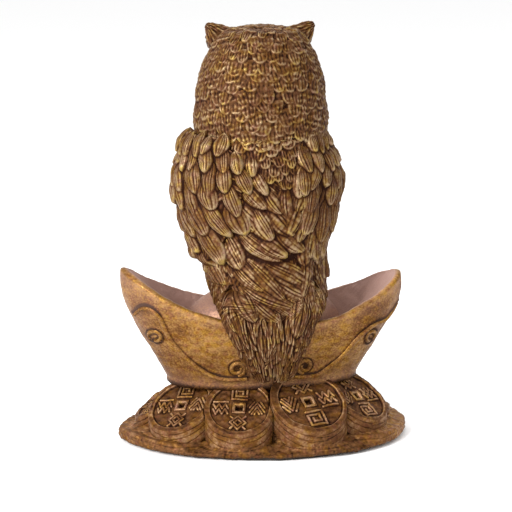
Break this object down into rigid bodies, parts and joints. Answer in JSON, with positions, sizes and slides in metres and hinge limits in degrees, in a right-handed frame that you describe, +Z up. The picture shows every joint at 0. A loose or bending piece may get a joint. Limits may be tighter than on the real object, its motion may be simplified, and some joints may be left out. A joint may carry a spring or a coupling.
{
  "type": "owl figurine",
  "caption": "Horned owl perched on a boat-shaped ingot that stands on a mound of square-holed coins, in cast resin with an antique gold finish.",
  "frame": {"origin": "middle of the flat underside", "axes": "+Z up, the owl faces -Y, its left side is +X"},
  "size_m": [0.0804, 0.0556, 0.115],
  "materials": {
    "felt_pad": "thin dark pad, matte",
    "base_resin": "cast resin, antique bronze paint, rough and dark in the hollows",
    "coin_resin": "cast resin, antique gold paint rubbed on the raised edges",
    "ingot_resin": "cast resin, brushed antique gold paint, soft metallic sheen",
    "feather_resin": "cast resin, antique gold dry-brushed on the feathers over a dark brown wash",
    "face_resin": "cast resin, dark antique bronze paint",
    "foot_resin": "cast resin, antique gold paint"
  },
  "bodies": {
    "root": {"base_felt": "felt_pad", "base_slab": "base_resin", "beak": "face_resin", "coin_front_far_left": "coin_resin", "coin_front_far_right": "coin_resin", "coin_front_left": "coin_resin", "coin_front_right": "coin_resin", "coin_left_end": "coin_resin", "coin_mound": "base_resin", "coin_rear_far_left": "coin_resin", "coin_rear_far_right": "coin_resin", "coin_rear_left": "coin_resin", "coin_rear_right": "coin_resin", "coin_right_end": "coin_resin", "head": "feather_resin", "ingot_dome": "ingot_resin", "ingot_hull": "ingot_resin", "left_ear_tuft": "feather_resin", "left_eye": "face_resin", "left_foot": "foot_resin", "left_wing": "feather_resin", "right_ear_tuft": "feather_resin", "right_eye": "face_resin", "right_foot": "foot_resin", "right_wing": "feather_resin", "scroll_front_left": "ingot_resin", "scroll_front_right": "ingot_resin", "scroll_rear_left": "ingot_resin", "scroll_rear_right": "ingot_resin", "tail": "feather_resin", "torso": "feather_resin"}
  },
  "joints": []
}
